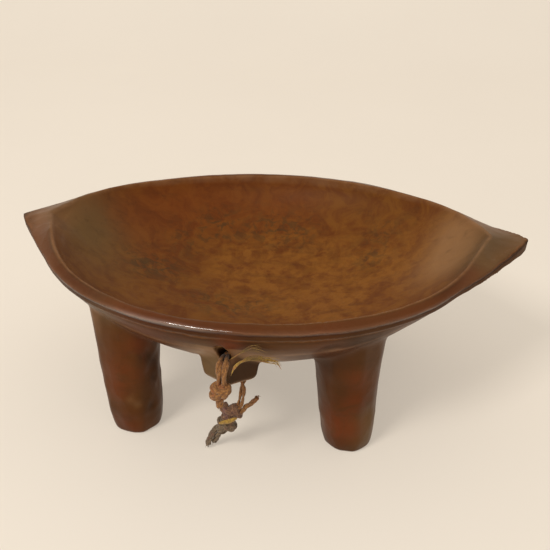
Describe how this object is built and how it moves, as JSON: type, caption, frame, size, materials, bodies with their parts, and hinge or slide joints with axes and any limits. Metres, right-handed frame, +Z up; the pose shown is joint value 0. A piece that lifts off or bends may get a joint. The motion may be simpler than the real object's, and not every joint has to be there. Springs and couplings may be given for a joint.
{
  "type": "four-legged carved serving bowl",
  "caption": "Carved wooden kava bowl with a shallow round basin, pointed ears, stout legs and a pierced lug that holds a knotted fibre cord.",
  "frame": {"origin": "on the floor, under the middle of the rim's box", "axes": "+X along the two ears towards the longer ear, -Y towards the lug, +Z up"},
  "size_m": [0.5, 0.358, 0.176],
  "materials": {
    "carved_wood": "oiled and polished, dark reddish brown, satin to gloss",
    "sennit": "plaited coconut fibre, golden brown, dry and matt",
    "worn_sennit": "old plaited coconut fibre, grey brown, matt",
    "loose_fibre": "loose dry plant fibre, yellow"
  },
  "bodies": {
    "carved_body": {"bowl": "carved_wood", "leg_front_left": "carved_wood", "leg_front_right": "carved_wood", "leg_back_left": "carved_wood", "leg_back_right": "carved_wood", "lug": "carved_wood", "hole_strands": "sennit", "loose_fibre_low": "loose_fibre", "loose_fibre_high": "loose_fibre"},
    "front_cord": {"front_strand_left": "sennit", "front_strand_right": "sennit", "front_knot": "sennit", "front_tag": "sennit"},
    "back_cord": {"back_strand_left": "sennit", "back_strand_right": "sennit", "upper_back_knot": "worn_sennit", "side_tail": "sennit", "lower_back_knot": "worn_sennit", "end_tail_long": "worn_sennit", "end_tail_short": "worn_sennit"}
  },
  "joints": [
    {"name": "front_cord_swing", "type": "hinge", "parent": "carved_body", "child": "front_cord", "pos_m": [-0.013, -0.168, 0.125], "axis": [1, 0, 0], "range_deg": [-70, 0]},
    {"name": "back_cord_swing", "type": "hinge", "parent": "carved_body", "child": "back_cord", "pos_m": [-0.002, -0.13, 0.09], "axis": [1, 0, 0], "range_deg": [-40, 55]}
  ]
}
